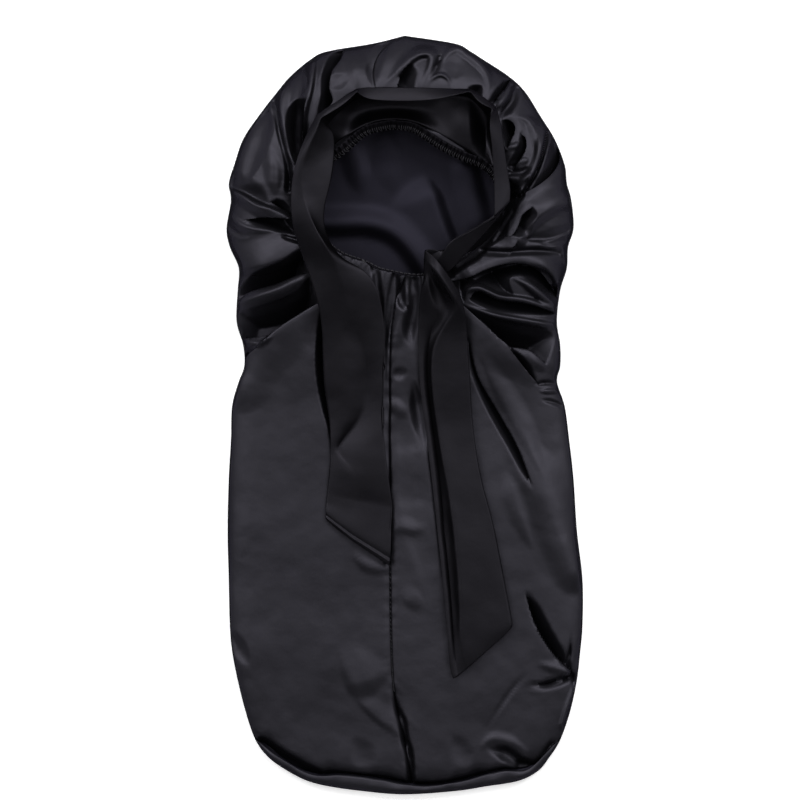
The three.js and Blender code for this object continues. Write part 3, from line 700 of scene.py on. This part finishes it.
def frontPanel(name, side):
    # side -1 is left and 1 right; the inner edge runs round the opening and then down the centre seam
    inner, outer = [np.array([0.0])], [np.array([0.0])]
    for steps, innerEnd, outerEnd in frontGrid["stations"]:
        inner.append(np.linspace(inner[-1][-1], innerEnd, steps + 1)[1:])
        outer.append(np.linspace(outer[-1][-1], outerEnd, steps + 1)[1:])
    inner, outer = np.concatenate(inner), np.concatenate(outer)
    share = frontGrid["openingShare"]
    around = alongLine(openingHalves[side], np.clip(inner / share, 0, 1))
    down = alongLine(centreSeamLine, np.clip((inner - share) / (1 - share), 0, 1))
    innerEdge = np.where((inner < share)[:, None], around, down)
    outline = outlineBetween(0, footCorner) if side < 0 else outlineBetween(crownAgain, -footCorner)
    half = len(footSeamLine) // 2
    footHalf = footSeamLine[:half + 1][::-1] if side < 0 else footSeamLine[half:]
    outerEdge = alongLine(np.vstack([outline[:-1], footHalf[-1:]]), outer)
    shares = np.linspace(0, 1, frontGrid["across"] + 1)
    top = mix(innerEdge[0], outerEdge[0], shares[:, None])
    rowShares = np.linspace(0, 1, len(inner))
    plan = blendEdges(innerEdge, outerEdge, top, alongLine(footHalf, shares), shares, rowShares)
    join = alongLine(curveThrough(fromPhoto(crownJoin), curveSteps["crownJoin"]), shares) - top
    join[0], join[-1] = 0, 0
    fade = np.clip(1 - np.arange(len(plan)) / frontGrid["joinRows"], 0, 1) ** 2
    plan = plan + join[None] * fade[:, None, None]
    x, y, z = satinPlaces(plan[..., 0], plan[..., 1])
    onSeam = np.zeros(x.shape)
    onSeam[inner >= share, 0] = 1
    x = x + side * panel["seamGap"] * onSeam
    places = np.stack([x, y, z], -1)
    piece = gridPiece(name, places, panel["wall"])
    piece.data.set_sharp_from_angle(angle=math.radians(panel["sharpAngle"]))
    piece.data.materials.append(satin)
    return piece


frontPanelLeft = frontPanel("satinPanelLeft", -1)
frontPanelRight = frontPanel("satinPanelRight", 1)
print("front panels shaped")


# back panel: lies on the surface, turns up at the sides and rolls over at the foot

backPanelSize = {  # sizes in mm
    "wall": 0.6, "across": 150, "along": 190, "acrossBunch": 0.55, "alongBunch": 0.45, "underRim": 0.3,
    "rollRows": 9, "rollRise": 3.4, "rollTurn": 0.85, "rollWrinkle": 19, "rollUneven": 2.0, "rollSeed": 1.2,
    "wrinkleWave": 0.25, "wrinkleLength": 5.5, "wrinkleWobble": [(2, 17, 0)],
    "footGap": 1.2, "footUnder": 1.0, "crownRow": 5,
    "crumple": 0.5, "crumpleSize": 34, "crumpleSeed": 4.4, "flatRim": 16, "flatOver": 12,
}


def backPanel(name):
    size = backPanelSize
    crownRow = size["crownRow"]
    leftSide = outlineBetween(crownRow, footCorner)
    rightSide = outlineBetween(-crownRow, -footCorner)
    crown = np.vstack([outlineBetween(crownRow, 0), outlineBetween(crownAgain, -crownRow)[1:]])
    foot = outlineBetween(footCorner, -footCorner)
    across = np.linspace(0, 1, size["across"] + 1)
    across = mix(across, 0.5 - 0.5 * np.cos(math.pi * across), size["acrossBunch"])  # closer near the rim
    along = np.linspace(0, 1, size["along"] + 1)
    along = mix(along, 0.5 - 0.5 * np.cos(math.pi * along), size["alongBunch"])
    left, right = alongLine(leftSide, along), alongLine(rightSide, along)
    top, bottom = alongLine(crown, across), alongLine(foot, across)
    x, y = blendEdges(left, right, top, bottom, across, along).transpose(2, 0, 1)
    toRim = nearestOn(outlineLine, x, y)[0]
    rimHeight = panel["rimHeight"] - size["underRim"]
    rim = rimHeight * (1 - arch(toRim / panel["backRimRadius"]))
    lift, moveX, moveY = foldLift(innerFolds, x, y)
    inside = ease((toRim - size["flatRim"]) / size["flatOver"])
    rough = size["crumple"] * (1 + slowWaves(x, y, size["crumpleSize"], size["crumpleSeed"])) * inside
    flat = np.stack([x + moveX, y + moveY, np.maximum(rim + lift + rough, 0)], -1)
    halfway = len(footSeamLine) // 2
    toCentre = 1 - np.abs(2 * across - 1)
    seamLeft = alongLine(footSeamLine[:halfway + 1], toCentre)
    seamRight = alongLine(footSeamLine[halfway:][::-1], toCentre)
    seam = np.where((across < 0.5)[:, None], seamLeft, seamRight) - np.array([0, size["footGap"]])
    seamHeight = bagHeight(seam[:, 0], seam[:, 1])[0] - size["footUnder"]
    # the roll, from the foot of the flat part up and over to the foot seam
    rolls = []
    for step in range(1, size["rollRows"] + 1):
        share = step / size["rollRows"]
        rollX, rollY = mix(bottom, seam, 1 - math.cos(share * math.pi / 2) if share < 1 else 1).T
        bulge = size["rollRise"] * math.sin(share * math.pi * size["rollTurn"])
        wrinkle = slowWaves(rollX, 0 * rollY, size["rollWrinkle"], size["rollSeed"])
        wrinkle = wrinkle * math.sin(share * math.pi)
        fine = np.sin(rollX / size["wrinkleLength"] + sineSum(rollX, size["wrinkleWobble"]))
        wrinkle = size["rollUneven"] * (wrinkle + size["wrinkleWave"] * fine)
        rolls.append(np.stack([rollX, rollY, mix(rimHeight, seamHeight, share) + bulge + wrinkle], -1))
    places = np.concatenate([flat, np.array(rolls)])
    # the wall goes on the upper side, because the underside lies on the surface
    piece = gridPiece(name, places, size["wall"], wallSide=1)
    piece.data.materials.append(satinBack)
    piece.data.materials.append(satin)
    for polygon in piece.data.polygons:
        if polygon.index // size["across"] >= len(flat) - 2:
            polygon.material_index = 1  # the roll shows the glossy face
    return piece


backPanelPiece = backPanel("satinPanelBack")
print("back panel shaped")


# ruffled elastic seam round the inside of the opening, with its overlock stitches

elastic = {  # sizes in mm; a wave is its height, its length for one radian, and its shift in radians
    "width": 8.2, "narrow": 1.8, "narrowFrom": 200, "narrowTo": 150, "sewnIn": 0.3, "drop": 4.0, "wall": 0.9,
    "steps": 720, "across": 6, "ruffle": 1.3, "ruffleShares": (0.35, 0.65), "rufflePitch": 4.6,
    "ruffleWobble": [(2.2, 9, 0), (1.2, 3.1, 0)], "crinkle": 0.4, "crinklePitch": 2.3,
    "crinkleWobble": [(3, 5, 0)],
}
overlock = {  # three points for each stitch: share of the width, height over it in mm; slants in steps
    "pitch": 2.0, "radius": 0.25, "shares": (0.52, 0.78, 1.02), "heights": (0.35, 0.45, 0.25),
    "slants": (1, 3),
}
ringLine = alongLine(openingLine, np.linspace(0, 1, elastic["steps"] + 1))


def ringOut(line):
    # the way out of the opening at each step of its ring
    ahead = np.roll(line[:-1], -1, 0) - np.roll(line[:-1], 1, 0)
    out = np.stack([-ahead[:, 1], ahead[:, 0]], 1)
    out /= np.linalg.norm(out, axis=1)[:, None]
    return np.vstack([out, out[:1]])


ringOutward = ringOut(ringLine)
ringS = np.linspace(0, openingLengths[-1], elastic["steps"] + 1)


def elasticPlace(index, share):
    # places in mm; share 0 is sewn to the satin's edge and 1 hangs free into the opening
    out = ringOutward[index]
    narrowOver = elastic["narrowFrom"] - elastic["narrowTo"]
    high = ease((ringLine[index][:, 1] - elastic["narrowTo"]) / narrowOver)
    width = mix(elastic["narrow"], elastic["width"], high)
    place = ringLine[index] - out * (elastic["sewnIn"] + share * width[:, None])
    s = ringS[index]
    wave = np.sin(2 * math.pi * s / elastic["rufflePitch"] + sineSum(s, elastic["ruffleWobble"]))
    crinkle = np.sin(2 * math.pi * s / elastic["crinklePitch"] + sineSum(s, elastic["crinkleWobble"]))
    sewn, free = elastic["ruffleShares"]
    ruffle = elastic["ruffle"] * (wave + elastic["crinkle"] * crinkle) * (sewn + free * share)
    z = panel["openingHeight"] + high * (ruffle - share * elastic["drop"])
    return np.stack([*place.T, z], -1)


everyStep = np.arange(elastic["steps"] + 1)
elasticShares = np.arange(elastic["across"] + 1) / elastic["across"]
elasticRows = np.stack([elasticPlace(everyStep, share) for share in elasticShares], 1)
elasticPiece = gridPiece("elasticSeam", elasticRows, elastic["wall"], closed=True)
elasticPiece.data.materials.append(elasticCloth)


def tubesAlong(name, routes, radius, sides=5):
    # short thread lengths, each a tube along its own few points in mm, joined in one mesh
    bm = bmesh.new()
    for route in routes:
        route = [Vector(point) * mm for point in route]
        rings = []
        for index, point in enumerate(route):
            ahead = (route[min(index + 1, len(route) - 1)] - route[max(index - 1, 0)]).normalized()
            turn = ahead.to_track_quat("Z", "Y").to_matrix().to_4x4()
            turn.translation = point
            made = bmesh.ops.create_circle(bm, segments=sides, radius=radius * mm, matrix=turn)
            rings.append(made["verts"])
        for first, second in zip(rings, rings[1:]):
            for corner in range(sides):
                after = (corner + 1) % sides
                bm.faces.new((first[corner], first[after], second[after], second[corner]))
        bm.faces.new(rings[0][::-1])
        bm.faces.new(rings[-1])
    bmesh.ops.recalc_face_normals(bm, faces=bm.faces)
    return pieceFrom(bm, name)


stitchRoutes = []
stitchCount = int(openingLengths[-1] / overlock["pitch"])
for stitch in range(stitchCount):
    index = int(stitch / stitchCount * elastic["steps"])
    after = (index + overlock["slants"][stitch % 2]) % elastic["steps"]
    steps = zip((index, index, after), overlock["shares"], overlock["heights"])
    stitchRoutes.append([elasticPlace(np.array([at]), share)[0] + (0, 0, up) for at, share, up in steps])
overlockThread = tubesAlong("overlockThread", stitchRoutes, overlock["radius"])
overlockThread.data.materials.append(thread)
print("elastic seam shaped")


# tie band: collar round the opening and the two ties, one strip

band = {  # sizes in mm
    "wall": 1.0, "levels": 3, "crumple": 0.45, "crumpleSize": 26, "crumpleSeed": 3.1, "ridgeCrease": 0.8,
    "outerPuff": 0.8, "innerSwell": 0.6,
}

# Stations along the strip. Each has four points across it, in the photograph's pixels and in mm over
# the satin: a is the outer edge, b the crest of the fold, c where the inside turns away, and d the edge
# that is sewn or tucked in. sharp creases the strip across at that station. puff lifts it between a and
# b, hollow sinks it between b and c, and swell lifts it between c and d; below zero they do the opposite.
bandStations = [
    # left tie from its slanted end up to the opening
    dict(a=(326, 520, 4), b=(352, 540, 4.6), c=(389, 565, 5.5), d=(388, 563, 0.6), sharp=1),
    dict(a=(326, 517, 5.2), b=(352, 537, 5.8), c=(390, 561, 6.8), d=(388, 560, 0.9), sharp=0.6),
    dict(a=(326, 514.5, 4), b=(352, 534, 4.4), c=(390.5, 558, 5.2), d=(388.5, 557, 0.7), sharp=0.8),
    dict(a=(326, 511, 5), b=(353, 530, 5.6), c=(391, 553, 6.6), d=(388.5, 552, 0.9)),
    dict(a=(326, 503, 2.6), b=(357, 510, 2.6), c=(391.5, 522, 4.6), d=(389, 521, 1), sharp=0.3),
    dict(a=(327, 494, 3), b=(359, 500, 2.2), c=(392.5, 506, 3.6), d=(390, 506, 1), sharp=0.7),
    dict(a=(330, 468, 4), b=(358, 470, 7.5), c=(389, 480, 6), d=(386.5, 480, 1), puff=1.5),
    dict(a=(331, 453, 3.4), b=(336, 452, 2.4), c=(386, 456, 6.5), d=(383.5, 456, 1), hollow=-3.5),
    dict(a=(331, 442, 4.4), b=(341, 442, 1.4), c=(384.6, 440, 6), d=(382, 440, 1), puff=1.2, hollow=-2.5),
    dict(a=(330, 424, 5), b=(358, 423, 1), c=(383.6, 422, 5.6), d=(381, 422, 1), puff=4),
    dict(a=(327, 405, 5), b=(366, 404, 1), c=(383.5, 404, 5), d=(381, 404, 1), puff=5.5),
    dict(a=(324, 383, 5.5), b=(366, 380, 0.8), c=(384, 379, 5), d=(381.5, 379, 1), puff=5.5),
    dict(a=(323, 358, 6.5), b=(365, 354, 3.4), c=(385, 351, 5.4), d=(382, 351, 1.2), puff=3.6),
    dict(a=(323, 334, 8), b=(356, 331, 7.5), c=(385, 326, 5.5), d=(382, 326, 1.4), puff=0.6),
    dict(a=(320, 309, 9), b=(348, 306, 9.5), c=(381, 301, 6), d=(378, 301, 1.6)),
    dict(a=(314, 288, 9), b=(343, 285, 11.5), c=(377, 287, 6), d=(373, 287, 1.6)),
    dict(a=(308, 271, 9), b=(336, 266, 14.5), c=(367, 271, 6), d=(362, 272, 1)),
    # left side of the collar
    dict(a=(302.5, 256, 9), b=(328, 250, 20), c=(344, 261, 6.5), d=(342, 262, 0.5)),
    dict(a=(297, 240, 13), b=(320, 236, 21), c=(333, 248, 8), d=(334, 250, 0)),
    dict(a=(293, 225, 15.5), b=(312, 221, 21.5), c=(324, 229, 11), d=(326, 236, 0)),
    dict(a=(291.5, 207, 17), b=(306, 206, 21.5), c=(325, 207, 14), d=(318, 222, -0.5)),
    dict(a=(292, 191, 17), b=(303, 192, 21), c=(330, 193, 14), d=(314, 203, -0.5)),
    dict(a=(294, 176, 17), b=(302, 178, 21), c=(334, 173, 13), d=(313, 185, -0.5)),
    dict(a=(297, 164, 17), b=(303.5, 167, 20.5), c=(335.5, 160, 12), d=(317, 168, -0.5)),
    dict(a=(302, 149, 16), b=(308, 153, 20.5), c=(336, 147, 11), d=(326, 156, -0.5)),
    dict(a=(310, 132, 14.5), b=(315, 138, 20.5), c=(335, 134, 10), d=(334, 147, -1)),
    dict(a=(317, 118, 16.5), b=(322, 121, 21), c=(327, 128, 9), d=(340, 142, -1), sharp=0.9),
    # top of the collar
    dict(a=(328, 110, 16.5), b=(331, 116, 20), c=(334, 119, -3), d=(346, 138, -2)),
    dict(a=(343, 101, 16), b=(346, 107, 19.5), c=(344, 108, -8), d=(352, 134, -3), swell=-10),
    dict(a=(356.5, 92, 17), b=(357.5, 95, 21), c=(354, 102, -9), d=(362, 128, -2), sharp=0.95, swell=-14),
    dict(a=(363, 90.5, 14.5), b=(366, 103, 20), c=(364, 98, -9), d=(372, 123, -1.5), swell=-15),
    dict(a=(386, 90.5, 13.5), b=(388, 104.5, 19.5), c=(388, 97, -9), d=(388, 120, -1.5), swell=-15),
    dict(a=(410, 90.5, 13.5), b=(412, 105, 19.5), c=(412, 97, -9), d=(413, 121, -1.5), swell=-15),
    dict(a=(435, 91, 13.5), b=(437, 103, 20), c=(438, 96, -8), d=(436, 133, -0.5), swell=-7),
    dict(a=(455, 91.5, 14.5), b=(456, 98, 20.5), c=(456, 97, -5), d=(456, 146, 0), swell=6),
    dict(a=(471, 92, 17), b=(470, 94.5, 22), c=(468, 99, -4), d=(470, 154, 0), sharp=0.4, swell=6),
    dict(a=(481, 98.5, 16.5), b=(477, 106, 21), c=(481, 109, -7), d=(478, 158, 0), swell=-7),
    dict(a=(495, 109, 17), b=(491.5, 112, 22), c=(487, 118, -8), d=(484, 162, 0), sharp=0.95, swell=-12),
    # right side of the collar
    dict(a=(499, 119, 15), b=(487.5, 127, 21), c=(491, 131, -6), d=(490, 166, 0), swell=-9),
    dict(a=(503, 147, 16), b=(490.5, 145, 20), c=(494, 146, -2), d=(494, 176, 0)),
    dict(a=(507, 177, 16), b=(493, 177, 20), c=(497, 178, 3), d=(500, 192, 0)),
    dict(a=(510, 190, 16), b=(493.5, 198, 20), c=(497, 198, 6), d=(502, 203, 0)),
    dict(a=(509, 203, 15.5), b=(493.5, 219, 21), c=(495, 221, 8), d=(500, 222, 0), sharp=0.85),
    dict(a=(496, 222, 14.5), b=(480, 226, 20), c=(483, 231, 9), d=(491, 236, 0)),
    dict(a=(480, 239, 13.5), b=(464, 234.5, 19.5), c=(469, 241, 9), d=(479, 247, 0)),
    dict(a=(464, 256, 12), b=(447, 242.5, 18), c=(451, 249, 9), d=(459, 258, 1)),
    dict(a=(450, 274, 6), b=(440, 262, 12), c=(434, 253, 15), d=(433, 249.5, 17)),
    # folded back over itself, where the right tie starts
    dict(a=(424, 284, 6), b=(424, 273, 10), c=(424.5, 262, 14), d=(425.5, 252, 19), sharp=0.9),
    dict(a=(423.5, 284, 9), b=(427, 274, 12), c=(430, 264, 20), d=(434, 258, 21)),
    dict(a=(422, 288, 9), b=(427, 284, 13), c=(437.5, 274, 22), d=(446, 275, 17), hollow=9),
    dict(a=(420.5, 297, 8), b=(429, 294, 13), c=(446, 286.5, 21.5), d=(457, 290, 14), hollow=14),
    dict(a=(419.5, 308, 7), b=(433, 306, 12), c=(454, 299, 18.5), d=(462, 303, 11), hollow=12),
    dict(a=(418.5, 318, 6.4), b=(438, 316, 9), c=(458, 312, 13), d=(465, 320, 8), hollow=3.5),
    # right tie, with a narrow fold down its left edge
    dict(a=(418, 340, 6), b=(427, 340, 0.8), c=(432, 340, 8), d=(467, 340, 6.5), puff=1.6),
    dict(a=(418.6, 380, 6), b=(426.5, 380, 0.6), c=(431.5, 380, 7.4), d=(470, 380, 5.5), puff=1.6,
         swell=1.5),
    dict(a=(423.6, 416, 5.6), b=(431.5, 418, 0.5), c=(436.5, 418, 7.2), d=(471.5, 416, 5), puff=1.6,
         swell=-0.5),
    dict(a=(428.6, 454, 5.2), b=(436.5, 454, 0.5), c=(442, 454, 7.4), d=(475.7, 451, 4.8), puff=1.6,
         swell=-2.2),
    dict(a=(433, 491, 5), b=(440.5, 487, 0.4), c=(448.5, 487, 8), d=(482, 485, 4.6), puff=1.6, swell=1.2),
    dict(a=(437, 530, 5), b=(443.5, 527, 0.4), c=(454, 526, 9), d=(492, 517, 4.4), puff=1.6, hollow=2.5,
         swell=-2.2),
    dict(a=(440.5, 560, 5), b=(446.5, 556, 0.4), c=(457, 556, 9), d=(498.5, 551, 4.2), puff=1.6, hollow=2,
         swell=1),
    dict(a=(445, 606, 4.8), b=(451, 602, 0.4), c=(461, 600, 8), d=(508, 599, 4), puff=1.6, hollow=2.5,
         swell=-1.8),
    dict(a=(448, 645, 4.4), b=(453, 638, 0.6), c=(460, 634, 6.5), d=(511, 615, 4), puff=1.6),
    dict(a=(450, 668, 3.8), b=(455, 661, 2.6), c=(464, 656, 5), d=(512, 622, 4)),
    dict(a=(452.5, 678, 3), b=(458, 675, 3), c=(466, 668, 3.2), d=(512.5, 627, 3), sharp=0.6),
]


def eachStation(key):
    return np.array([station.get(key, 0) for station in bandStations], float)


def tieBand(name):
    lines = []
    for points in map(eachStation, "abcd"):
        plan = fromPhoto(points[:, :2])
        height = bagHeight(plan[:, 0], plan[:, 1])[0]
        lines.append(np.stack([plan[:, 0], plan[:, 1], height + points[:, 2]], -1))
    a, b, c, d = lines
    # the four lines of the stations, and three more halfway between them
    columns = [a, mix(a, b, 0.5), b, mix(b, c, 0.5), c, mix(c, d, 0.5), d]
    columns[1][:, 2] += band["outerPuff"] + eachStation("puff")
    columns[3][:, 2] -= eachStation("hollow")
    columns[5][:, 2] += band["innerSwell"] + eachStation("swell")
    places = np.stack(columns, 1)
    crestColumn, turnColumn = 2, 4

    def crease(first, second):
        if first[0] == second[0]:
            return bandStations[first[0]].get("sharp", 0)
        if first[1] == second[1] and first[1] in (crestColumn, turnColumn):
            return band["ridgeCrease"]
        return 0

    piece = gridPiece(name, places, band["wall"], crease=crease, levels=band["levels"])
    crumple(piece, band["crumpleSize"], band["crumple"], band["crumpleSeed"])
    piece.data.materials.append(bandCloth)
    return piece


bandPiece = tieBand("tieBand")
print("tie band shaped")


# seam threads: the visible stitches of the centre seam and the knot at the opening

seamThread = {  # sizes in mm, places in the photograph
    "pitch": 3.0, "length": 1.9, "radius": 0.22, "slant": 0.5, "over": 0.15, "bow": 0.25,
    "from": (389, 566), "to": (394, 690),
}


def seamStitches():
    routes = []
    start, end = fromPhoto([seamThread["from"]])[0], fromPhoto([seamThread["to"]])[0]
    shares = nearestOn(centreSeamLine, *np.stack([start, end], 1))[2]
    position = np.linspace(shares[0], shares[1], int((start[1] - end[1]) / seamThread["pitch"]))
    position = position * (len(centreSeamLine) - 1)
    across, down = (np.interp(position, np.arange(len(centreSeamLine)), line) for line in centreSeamLine.T)
    height = satinPlaces(across[None], down[None])[2][0] + seamThread["over"]
    half, slant, bow = seamThread["length"] / 2, seamThread["slant"], seamThread["bow"]
    for x, y, z in zip(across, down, height):
        routes.append([(x - slant, y + half, z), (x, y, z + bow), (x + slant, y - half, z)])
    return routes


centreSeamThread = tubesAlong("centreSeamThread", seamStitches(), seamThread["radius"])
centreSeamThread.data.materials.append(thread)

knot = {  # the end of thread at the opening: places in the photograph, heights in mm over the opening
    "radius": 0.35,
    "points": [(362, 260, 3.4), (364, 262, 4.2), (366, 263.5, 3.4), (364.5, 264.5, 3), (363.5, 262.5, 3.6),
               (361.5, 262, 3)],
}
knotPlan = fromPhoto([point[:2] for point in knot["points"]])
knotRoute = [(x, y, panel["openingHeight"] + point[2]) for (x, y), point in zip(knotPlan, knot["points"])]
knotThread = tubesAlong("knotThread", [knotRoute], knot["radius"])
knotThread.data.materials.append(thread)
print("threads sewn")


# what each piece stands for

for piece, node, slot in (
    (frontPanelLeft, "front_panel_left", "satin"), (frontPanelRight, "front_panel_right", "satin"),
    (backPanelPiece, "back_panel", "satin"), (elasticPiece, "opening_seam", "overlock"),
    (bandPiece, "tie_band", "band"),
):
    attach(piece, "root")
    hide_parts(node)
for piece, slot in ((overlockThread, "overlock"), (centreSeamThread, "satin"), (knotThread, "overlock")):
    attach(piece, "root")


# floor, light and camera

studio = {
    "paper": "#f4f4f4", "paperGlow": 0.5, "paperHalf": 4,  # half its side, in metres
    "surround": (0.02, 0.02, 0.021, 1),  # nearly black, so that slopes away from the lamps stay dark
}
lamps = [  # name, place and size in metres, radiance; each one points at the bonnet
    ("overheadSoftbox", (0, 0, 3.0), (1.6, 1.6), 1.16),
    ("crownBank", (0, 3.0, 3.0), (4.5, 1.0), 8.5),
    ("crownLeftBank", (-2.5, 1.9, 3.0), (1.0, 2.5), 8.5),
    ("crownRightBank", (2.5, 1.9, 3.0), (1.0, 2.5), 8.8),
    ("leftBank", (-3.0, 0, 3.0), (1.0, 4.5), 2.4),
    ("rightBank", (3.0, 0, 3.0), (1.0, 4.5), 2.6),
    ("footBank", (0, -3.2, 2.4), (4.5, 0.8), 1.2),
]
view = {"distance": 6.0, "farEnd": 50, "imageSide": 800}  # metres, and the photograph's pixels


def floorMaterial():
    # seamless white paper, lit evenly from its own surface so that it stays pale to the edges
    made, tree = emptyMaterial("seamless white paper")
    shader = addNode(tree, "ShaderNodeBsdfPrincipled", {
        "Base Color": linearColour(studio["paper"]), "Roughness": 0.9, "Specular IOR Level": 0.1,
        "Emission Color": (1, 1, 1, 1), "Emission Strength": studio["paperGlow"],
    })
    addNode(tree, "ShaderNodeOutputMaterial", links={"Surface": shader.outputs["BSDF"]})
    return made


bm = bmesh.new()
bmesh.ops.create_grid(bm, x_segments=1, y_segments=1, size=studio["paperHalf"])
floor = pieceFrom(bm, "floor")
floor.data.materials.append(floorMaterial())

for name, place, size, radiance in lamps:
    lamp = bpy.data.lights.new(name, "AREA")
    lamp.shape = "RECTANGLE"
    lamp.size, lamp.size_y = size
    lamp.energy = radiance * math.pi * size[0] * size[1]
    lampObject = bpy.data.objects.new(name, lamp)
    lampObject.location = place
    lampObject.rotation_euler = (-Vector(place)).to_track_quat("-Z", "Y").to_euler()
    lampObject.visible_camera = False
    bpy.context.scene.collection.objects.link(lampObject)

world = bpy.data.worlds.new("studio")
bpy.context.scene.world = world
world.use_nodes = True
world.node_tree.nodes["Background"].inputs["Color"].default_value = studio["surround"]
bpy.context.scene.view_settings.view_transform = "Standard"

cameraData = bpy.data.cameras.new("camera")
frameWidth = view["imageSide"] * photo["pixel"] * mm
cameraData.lens = cameraData.sensor_width * view["distance"] / frameWidth
cameraData.clip_end = view["farEnd"]
camera = bpy.data.objects.new("camera", cameraData)
imageMiddle = fromPhoto([(view["imageSide"] / 2, view["imageSide"] / 2)])[0] * mm
camera.location = (*imageMiddle, view["distance"])
bpy.context.scene.collection.objects.link(camera)
bpy.context.scene.camera = camera
print("floor, light and camera set")
